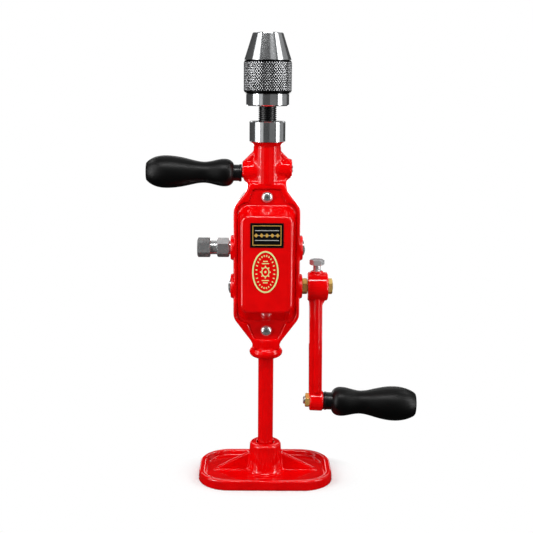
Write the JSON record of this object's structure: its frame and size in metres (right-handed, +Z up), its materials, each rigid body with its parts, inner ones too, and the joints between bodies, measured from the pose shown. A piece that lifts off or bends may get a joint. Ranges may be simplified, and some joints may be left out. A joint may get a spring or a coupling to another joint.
{
  "type": "breast drill",
  "caption": "Hand-cranked breast drill standing on its breast plate: geared casing, crank with a turning grip, side handle, shift knob and keyless three-jaw chuck.",
  "frame": {"origin": "centre of the breast plate's underside, on the ground", "axes": "+Z up along the drill's axis towards the chuck, +X towards the crank, -Y towards the front cover"},
  "size_m": [0.2725, 0.088, 0.4472],
  "materials": {
    "red_enamel": "gloss",
    "black_grip": "gloss",
    "black_steel": "satin",
    "brass": "satin",
    "polished_steel": "polished",
    "knurled_steel": "knurled",
    "zinc_steel": "satin",
    "machined_steel": "machined",
    "black_label": "gloss",
    "cream_paint": "gloss",
    "gasket_fibre": "matte"
  },
  "bodies": {
    "plate": {"breast_plate": "red_enamel", "rod_thrust_washer": "brass", "rod_keeper_pin": "machined_steel"},
    "drill": {"back_rod": "red_enamel", "rod_pin": "machined_steel", "gear_casing": "red_enamel", "front_cover": "red_enamel", "cover_gasket": "gasket_fibre", "cover_screws": "zinc_steel", "label_plate": "black_label", "oval_badge": "cream_paint", "crank_shaft_bush": "brass", "crank_hex_bush": "brass", "layshaft_bush_left": "brass", "layshaft_bush_right": "brass", "shift_gland_nut": "zinc_steel", "crank_boss_plug": "zinc_steel", "layshaft_boss_plug": "zinc_steel", "spindle_bush_lower": "brass", "spindle_bush_upper": "brass", "thrust_race_lower": "machined_steel", "side_stud": "black_steel", "side_ferrule": "black_steel", "side_grip": "black_grip", "boss_plug": "black_steel"},
    "crank": {"crank_shaft": "machined_steel", "crank_gear_fast": "machined_steel", "crank_gear_slow": "machined_steel", "crank_arm": "red_enamel", "crank_lock_screw": "zinc_steel", "crank_nut": "brass", "handle_pin": "machined_steel", "handle_pin_nut": "brass", "handle_washer": "black_steel"},
    "crank_handle": {"crank_ferrule": "black_steel", "crank_grip": "black_grip"},
    "layshaft": {"layshaft": "machined_steel", "layshaft_gear_fast": "machined_steel", "gear_spacer_ring": "machined_steel", "bevel_wheel": "machined_steel", "bevel_wheel_pin": "machined_steel"},
    "slow_gear": {"layshaft_gear_slow": "machined_steel"},
    "key": {"draw_key": "machined_steel"},
    "knob": {"shift_knob": "zinc_steel"},
    "spindle": {"spindle": "black_steel", "spindle_collar": "polished_steel", "bevel_pinion": "machined_steel", "bevel_pinion_pin": "machined_steel", "thrust_race_upper": "machined_steel", "thrust_balls": "machined_steel", "ball_cage": "brass", "chuck_body": "polished_steel", "chuck_rear_collar": "polished_steel"},
    "sleeve": {"chuck_sleeve": "knurled_steel", "chuck_nut": "machined_steel"},
    "jaw_1": {"chuck_jaw_1": "machined_steel"},
    "jaw_2": {"chuck_jaw_2": "machined_steel"},
    "jaw_3": {"chuck_jaw_3": "machined_steel"}
  },
  "joints": [
    {"name": "plate_swivel", "type": "hinge", "parent": "plate", "child": "drill", "pos_m": [0, 0, 0.02], "axis": [0, 0, 1], "continuous": true},
    {"name": "crank_turn", "type": "hinge", "parent": "drill", "child": "crank", "pos_m": [0, 0, 0.2], "axis": [1, 0, 0], "continuous": true},
    {"name": "crank_grip_spin", "type": "hinge", "parent": "crank", "child": "crank_handle", "pos_m": [0.05187, 0, 0.08001], "axis": [0.9993, 0, -0.0366], "continuous": true},
    {"name": "layshaft_turn", "type": "hinge", "parent": "drill", "child": "layshaft", "pos_m": [0, 0, 0.239], "axis": [1, 0, 0], "continuous": true},
    {"name": "slow_gear_turn", "type": "hinge", "parent": "drill", "child": "slow_gear", "pos_m": [0, 0, 0.239], "axis": [1, 0, 0], "continuous": true},
    {"name": "spindle_turn", "type": "hinge", "parent": "drill", "child": "spindle", "pos_m": [0, 0, 0.3], "axis": [0, 0, 1], "continuous": true},
    {"name": "shift_slide", "type": "slide", "parent": "drill", "child": "knob", "axis": [1, 0, 0], "range_m": [0, 0.003]},
    {"name": "key_slide", "type": "slide", "parent": "layshaft", "child": "key", "axis": [1, 0, 0], "range_m": [0, 0.003]},
    {"name": "chuck_sleeve_turn", "type": "hinge", "parent": "spindle", "child": "sleeve", "pos_m": [0, 0, 0.4], "axis": [0, 0, -1], "range_deg": [0, 2490]},
    {"name": "jaw_1_slide", "type": "slide", "parent": "spindle", "child": "jaw_1", "axis": [0, -0.2588, 0.9659], "range_m": [0, 0.0215]},
    {"name": "jaw_2_slide", "type": "slide", "parent": "spindle", "child": "jaw_2", "axis": [0.2241, 0.1294, 0.9659], "range_m": [0, 0.0215]},
    {"name": "jaw_3_slide", "type": "slide", "parent": "spindle", "child": "jaw_3", "axis": [-0.2241, 0.1294, 0.9659], "range_m": [0, 0.0215]}
  ],
  "couplings": [
    {"joint": "layshaft_turn", "follows": "crank_turn", "ratio": -1.3636},
    {"joint": "slow_gear_turn", "follows": "crank_turn", "ratio": -0.85714},
    {"joint": "spindle_turn", "follows": "crank_turn", "ratio": -2.7273},
    {"joint": "key_slide", "follows": "shift_slide", "ratio": 1},
    {"joint": "jaw_1_slide", "follows": "chuck_sleeve_turn", "m_per_rad": 0.00049431},
    {"joint": "jaw_2_slide", "follows": "chuck_sleeve_turn", "m_per_rad": 0.00049431},
    {"joint": "jaw_3_slide", "follows": "chuck_sleeve_turn", "m_per_rad": 0.00049431}
  ]
}
